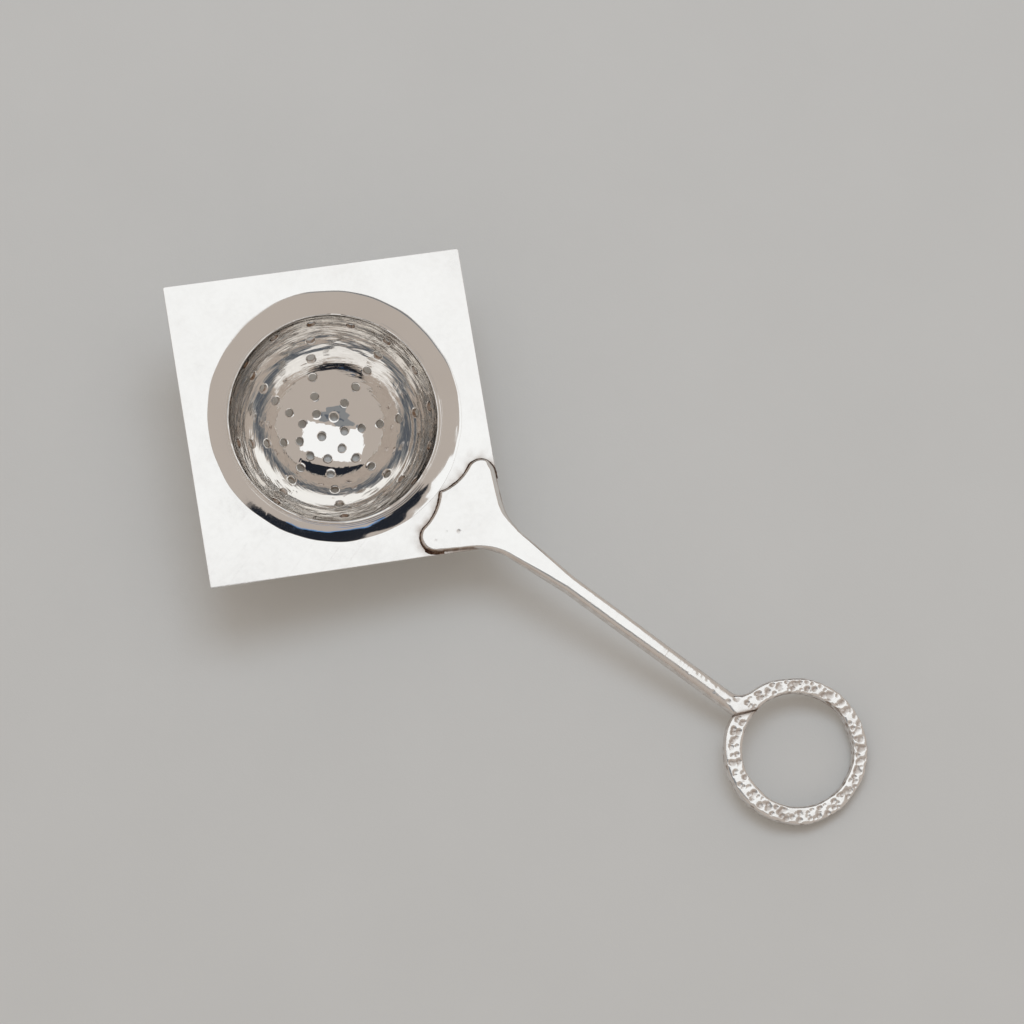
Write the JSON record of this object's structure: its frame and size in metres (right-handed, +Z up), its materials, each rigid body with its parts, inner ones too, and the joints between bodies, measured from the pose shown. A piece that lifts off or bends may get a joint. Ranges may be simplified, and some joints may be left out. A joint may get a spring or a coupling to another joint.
{
  "type": "tea strainer",
  "caption": "Hand-wrought silver tea strainer: a square flat flange with a flared collar and a pierced round bowl, and a forged handle ending in a hammered finger ring.",
  "frame": {"origin": "middle of the footprint, at the height of the table that the bowl and the ring rest on", "axes": "+X along the handle towards the finger ring, +Y across, +Z up; the flange leans towards the ring, as the strainer lies at rest"},
  "size_m": [0.1668, 0.085, 0.0328],
  "materials": {
    "flange_silver": "polished silver sheet with fine handling scratches",
    "collar_silver": "smooth planished silver, slightly soft polish",
    "bowl_silver": "raised silver with fine level rings from raising, bright inside",
    "handle_silver": "forged silver, smooth at the foot, hammered at the ring",
    "solder": "silver solder seam with brown tarnish"
  },
  "bodies": {
    "root": {"flange": "flange_silver", "collar": "collar_silver", "bowl": "bowl_silver", "handle": "handle_silver", "rim_solder": "solder", "bowl_solder": "solder", "foot_solder": "solder", "ring_solder": "solder"}
  },
  "joints": []
}
